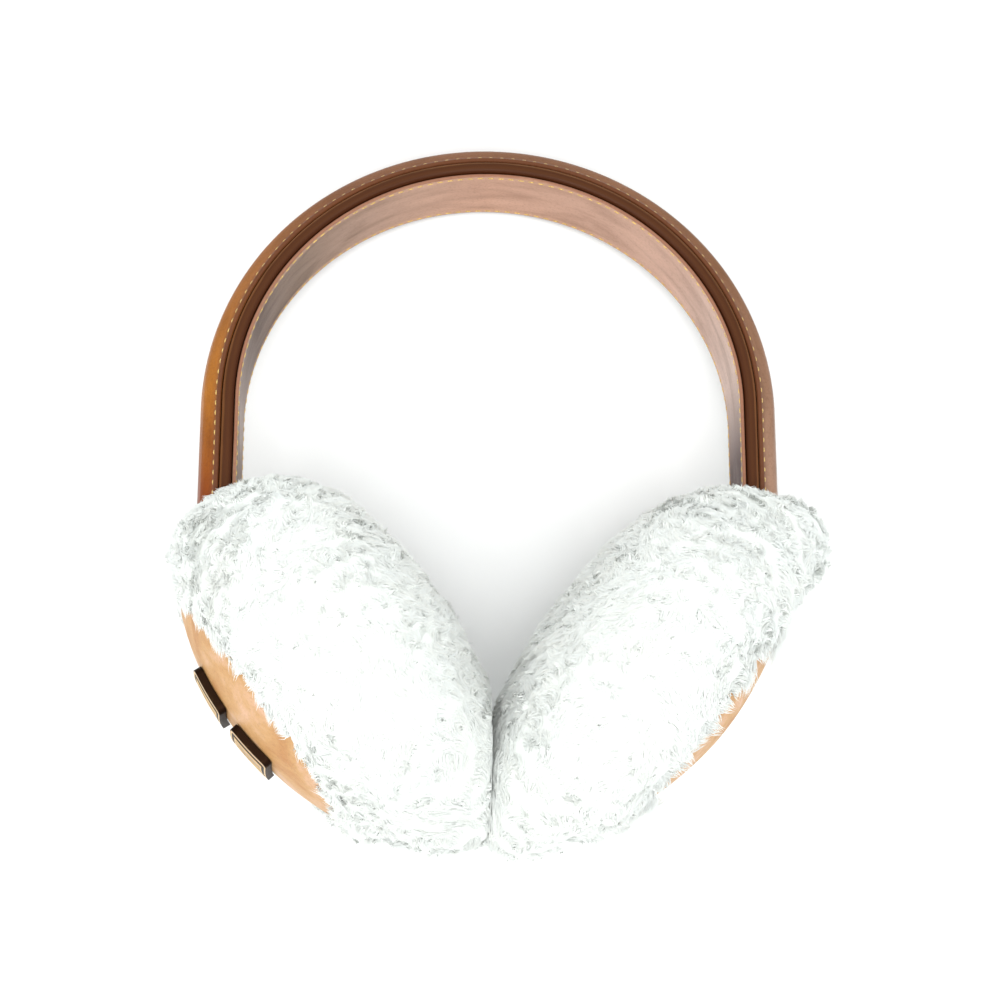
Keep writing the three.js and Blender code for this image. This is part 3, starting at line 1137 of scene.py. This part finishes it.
def strand_mesh(name: str, line: np.ndarray, facing: np.ndarray, tone: np.ndarray,
                width: float) -> bpy.types.Mesh:
    """Makes many flat tapered strands as one mesh, their faces turned outwards.

    Args:
        name: The mesh's name.
        line: Each strand's points, from root to tip.
        facing: The wool's outward direction at each strand.
        tone: A number for each strand, from 0 to 1, for its shade and its twist.
        width: The strands' width at the root.

    Returns:
        The mesh, with "rise" along each strand and "tone" between them.
    """
    count, steps, _ = line.shape
    ahead = np.gradient(line, axis=1)
    ahead /= np.linalg.norm(ahead, axis=2)[..., None] + 1e-12
    skyward = facing + np.array([0.0, 0.0, 0.6])
    sideways = np.cross(np.repeat(skyward[:, None], steps, 1), ahead)
    sideways /= np.linalg.norm(sideways, axis=2)[..., None] + 1e-12
    upwards = np.cross(ahead, sideways)
    twist = ((tone * 7919) % 1.0 - 0.5)[:, None, None] * 0.5
    sideways = sideways * np.cos(twist) + upwards * np.sin(twist)
    half = width * np.linspace(0.5, 0.36, steps - 1)[None, :, None]
    left = line[:, :-1] + sideways[:, :-1] * half
    right = line[:, :-1] - sideways[:, :-1] * half
    body = np.stack([left, right], 2).reshape(count, (steps - 1) * 2, 3)
    points = np.concatenate([body, line[:, -1:]], 1)
    per_strand = points.shape[1]
    faces = []
    for step in range(steps - 2):
        a = 2 * step
        faces += [(a, a + 1, a + 3), (a, a + 3, a + 2)]
    faces.append((per_strand - 3, per_strand - 2, per_strand - 1))
    corners = (np.array(faces)[None] + (np.arange(count) * per_strand)[:, None, None]).reshape(-1)
    mesh = bpy.data.meshes.new(name)
    mesh.vertices.add(count * per_strand)
    mesh.vertices.foreach_set("co", points.astype(np.float32).ravel())
    mesh.loops.add(len(corners))
    mesh.loops.foreach_set("vertex_index", corners.astype(np.int32))
    mesh.polygons.add(len(corners) // 3)
    mesh.polygons.foreach_set("loop_start", np.arange(0, len(corners), 3, dtype=np.int32))
    mesh.update(calc_edges=True)
    rise = np.repeat(np.append(np.linspace(0, 1, steps)[:-1].repeat(2), 1.0)[None], count, 0)
    # Flat strands are shaded as the wool's surface, steep ones by their own faces
    outward = np.empty((count, per_strand, 3))
    flat = np.clip(1.6 * (upwards * facing[:, None]).sum(2) - 0.4, 0, 1)[..., None]
    mixed = flat * facing[:, None] + (1.2 - flat) * upwards
    outward[:, 0:-1:2] = mixed[:, :-1] + 0.35 * sideways[:, :-1]
    outward[:, 1:-1:2] = mixed[:, :-1] - 0.35 * sideways[:, :-1]
    outward[:, -1] = mixed[:, -1]
    outward /= np.linalg.norm(outward, axis=2)[..., None]
    mesh.shade_smooth()
    mesh.normals_split_custom_set_from_vertices(outward.reshape(-1, 3))
    for key, values in {"rise": rise, "tone": np.repeat(tone, per_strand)}.items():
        attribute = mesh.attributes.new(key, "FLOAT", "POINT")
        attribute.data.foreach_set("value", values.astype(np.float32).ravel())
    return mesh


# Bars on the left cap


@dataclass
class Bars:
    """Two plain oblong brass bars on the left cap, domed like it, with a groove round a field.

    The rings on a bar's face are wider across the bar than along it, by the stretch.
    """

    pad: Pad
    length: float = 15 * MM
    width: float = 22 * MM
    height: float = 2.5 * MM
    spacing: float = 19.5 * MM
    rise: float = 1.3 * MM
    rounding: float = 2 * MM
    bevel: float = 0.4 * MM
    rim: float = 0.3 * MM
    wall: float = 0.15 * MM
    groove: float = 0.9 * MM
    land: float = 0.4 * MM
    fade: float = 0.8 * MM
    stretch: float = 2.5
    depth: float = 0.15 * MM

    def build(self) -> list[bpy.types.Object]:
        """Makes both bars, each in its node's place."""
        material = Brass().material()
        made = []
        for word, way in (("upper", -0.5), ("lower", 0.5)):
            piece = self.bar(f"brass_bar_{word}", way * self.spacing - self.rise, material)
            made.append(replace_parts(piece, f"bar_{word}"))
        return made

    def blank(self) -> bmesh.types.BMesh:
        """Makes a flat oblong block with round corners."""
        made = bmesh.new()
        bmesh.ops.create_cube(made, size=1)
        tall = self.height - CLEARANCE
        bmesh.ops.scale(made, vec=(self.length, self.width, tall), verts=made.verts)
        bmesh.ops.translate(made, vec=(0, 0, CLEARANCE + tall / 2), verts=made.verts)
        upright = [e for e in made.edges if abs(e.verts[0].co.z - e.verts[1].co.z) > tall / 2]
        bmesh.ops.bevel(made, geom=upright, offset=self.rounding, offset_type="OFFSET",
                        segments=5, profile=0.5, affect="EDGES", material=-1)
        self.cut(made, (0, 0, self.height - 1.4 * self.bevel), (0, 0, 1))
        made.normal_update()
        return made

    @staticmethod
    def cut(made: bmesh.types.BMesh, point: Sequence[float], normal: Sequence[float]) -> None:
        """Cuts all faces along a plane, without taking anything off."""
        bmesh.ops.bisect_plane(made, geom=made.verts[:] + made.edges[:] + made.faces[:],
                               plane_co=point, plane_no=normal)

    def bar(self, name: str, along: float, material: bpy.types.Material) -> bpy.types.Object:
        """Makes one bar.

        Args:
            name: The piece's name.
            along: Its middle's place down the cap.
            material: The brass.

        Returns:
            The piece.
        """
        made = self.blank()
        rub_and_shade = made.verts.layers.float.new("rub_and_shade")
        # Painted shade: the bar's sides are dark, darkest in their lower half against the cap
        for vertex in made.verts:
            vertex[rub_and_shade] = 0.0 if vertex.co.z < self.height / 2 else 0.15
        top = [max(made.faces, key=lambda face: face.calc_center_median().z)]
        edge = list(top[0].verts)
        steps = (
            (self.bevel, 0.0, 1.0), (self.rim, 0.0, 0.9), (self.wall, -self.depth, 0.0),
            (self.groove, 0.0, 0.05), (self.wall, self.depth, 1.0), (self.land, 0.0, 0.8),
            (self.fade, 0.0, 0.45),
        )
        for width, depth, shine in steps:
            half = max(vertex.co.y for vertex in top[0].verts)
            bmesh.ops.inset_region(made, faces=top, thickness=width, depth=depth)
            for vertex in top[0].verts:
                vertex.co.y *= (half - self.stretch * width) / (half - width)
                vertex[rub_and_shade] = shine
        for vertex in edge:
            vertex.co.z -= self.bevel
            vertex[rub_and_shade] = 0.6
        for i in range(-2, 3):
            self.cut(made, (self.length * i / 6, 0, 0), (1, 0, 0))
        for i in range(-4, 5):
            self.cut(made, (0, self.width * i / 10, 0), (0, 1, 0))
        return keep(name, self.seated(made, along), self.pad.place, material, 35.0)

    def seated(self, made: bmesh.types.BMesh, along: float) -> bmesh.types.BMesh:
        """Domes a bar, turns it outwards and sets it on the cap's dome."""
        pad = self.pad
        whole = pad.dome_radius()
        for vertex in made.verts:
            vertex.co.z -= (vertex.co.x ** 2 + vertex.co.y ** 2) / (2 * whole)
        turn = Matrix.Rotation(math.pi, 4, "X")
        out = Matrix.Translation((0, 0, -whole))
        tilt = Matrix.Rotation(-math.asin(along / whole), 4, "Y")
        seat = Matrix.Translation((0, 0, whole - pad.cap_depth - pad.cap_dome))
        made.transform(seat @ tilt @ out @ turn)
        return made


# Studio


@dataclass
class Studio:
    """The camera at the photograph's angle, the floor and the lights."""

    lie: Matrix
    pitch: float = 16.63
    yaw: float = 2.58
    distance: float = 678 * MM
    aim: tuple[float, float, float] = (3.3 * MM, -26.0 * MM, 0.0)
    lens: float = 83.34

    def camera(self) -> None:
        """Makes the camera, in front of the worn earmuffs and a little below their middle."""
        pitch, yaw = math.radians(self.pitch), math.radians(self.yaw)
        right = Vector((math.cos(yaw), 0, math.sin(yaw)))
        back = Vector((-math.cos(pitch) * math.sin(yaw), -math.sin(pitch),
                       math.cos(pitch) * math.cos(yaw)))
        up = back.cross(right)
        pose = Matrix((right, up, back)).transposed().to_4x4()
        pose.translation = Vector(self.aim) + back * self.distance
        data = bpy.data.cameras.new("camera")
        data.lens = self.lens
        data.sensor_width = 36
        data.clip_start = 0.05
        data.clip_end = 20
        camera = bpy.data.objects.new("camera", data)
        camera.matrix_world = self.lie @ pose
        bpy.context.scene.collection.objects.link(camera)
        bpy.context.scene.camera = camera

    def floor(self) -> None:
        """Makes the pale floor."""
        made = bmesh.new()
        bmesh.ops.create_grid(made, x_segments=1, y_segments=1, size=4)
        mesh = bpy.data.meshes.new("floor")
        made.to_mesh(mesh)
        made.free()
        mesh.materials.append(Paper().material())
        floor = bpy.data.objects.new("floor", mesh)
        bpy.context.scene.collection.objects.link(floor)
        floor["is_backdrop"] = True

    def light(self, name: str, place: Vector, size: float, power: float,
              color: Color = (1, 1, 1)) -> None:
        """Makes a square soft light that faces the earmuffs.

        Args:
            name: The light's name.
            place: Where it hangs.
            size: Its side.
            power: Its power in watts.
            color: Its colour.
        """
        data = bpy.data.lights.new(name, "AREA")
        data.size = size
        data.energy = power
        data.color = color
        made = bpy.data.objects.new(name, data)
        made.location = place
        made.rotation_euler = (-place).to_track_quat("-Z", "Y").to_euler()
        bpy.context.scene.collection.objects.link(made)

    def world(self, color: Color, strength: float) -> None:
        """Fills the room with even light."""
        world = bpy.data.worlds.new("room")
        world.use_nodes = True
        background = world.node_tree.nodes["Background"]
        background.inputs["Color"].default_value = (*color, 1)
        background.inputs["Strength"].default_value = strength
        bpy.context.scene.world = world

    def build(self) -> None:
        """Makes the whole studio."""
        self.camera()
        self.floor()
        self.world((0.96, 1.0, 1.0), 0.97)
        self.light("overhead", Vector((0.0, -0.05, 1.8)), 1.0, 17, (1.0, 1.0, 1.0))
        self.light("key", Vector((-1.0, -0.9, 1.5)), 1.2, 5, (1.0, 0.98, 0.95))
        view = bpy.context.scene.view_settings
        view.view_transform = "Standard"
        view.look = "None"
        view.exposure = 0.0
        view.gamma = 1.0


def report_size(before: tuple[Vector, Vector]) -> None:
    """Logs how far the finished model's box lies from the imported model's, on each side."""
    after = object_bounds()
    for label, low, high in zip("xyz", after[0] - before[0], after[1] - before[1]):
        log.info("%s: low %+.1f mm, high %+.1f mm", label, low / MM, high / MM)


def main() -> None:
    """Builds the earmuffs and their studio."""
    logging.basicConfig(level=logging.INFO, format="%(name)s: %(message)s")
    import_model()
    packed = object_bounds()
    lie = Lie().matrix()
    Studio(lie).build()
    Headband(lie).build()
    wool = Wool().material()
    leather = Leather("cap_leather", srgb(188, 132, 80), srgb(204, 156, 102), srgb(222, 178, 146),
                      roughness=0.5, cloud=75.0)
    seam = (0.0, 0.36 * math.pi, 9 * MM, 5)
    corner = (0.0, 0.51 * math.pi, 5 * MM, 12)
    under = (0.0, 0.68 * math.pi, -3.4 * MM, 8)
    over = (math.pi, 0.34 * math.pi, -2.8 * MM, 8)
    outer = (math.pi, 0.82 * math.pi, -2.7 * MM, 6)
    left = Pad(lie, Side.LEFT, spread=0.74 * PAD_RADIUS, drop=PAD_DROP - 0.025 * PAD_RADIUS,
               lean=38, turn=0.5, cap_depth=0.82 * PAD_INSIDE, seed=5,
               swells=(seam, corner, under, over, outer))
    right = Pad(lie, Side.RIGHT, spread=0.79 * PAD_RADIUS, drop=PAD_DROP + 0.017 * PAD_RADIUS,
                lean=37, turn=-4, cap_depth=0.591 * PAD_INSIDE, seed=11, overhang=1.6,
                swells=(seam, corner, under, (math.pi, 0.68 * math.pi, 9 * MM, 5)))
    left.build(wool, leather)
    right.build(wool, leather)
    Bars(left).build()
    report_size(packed)


if __name__ == "__main__":
    main()
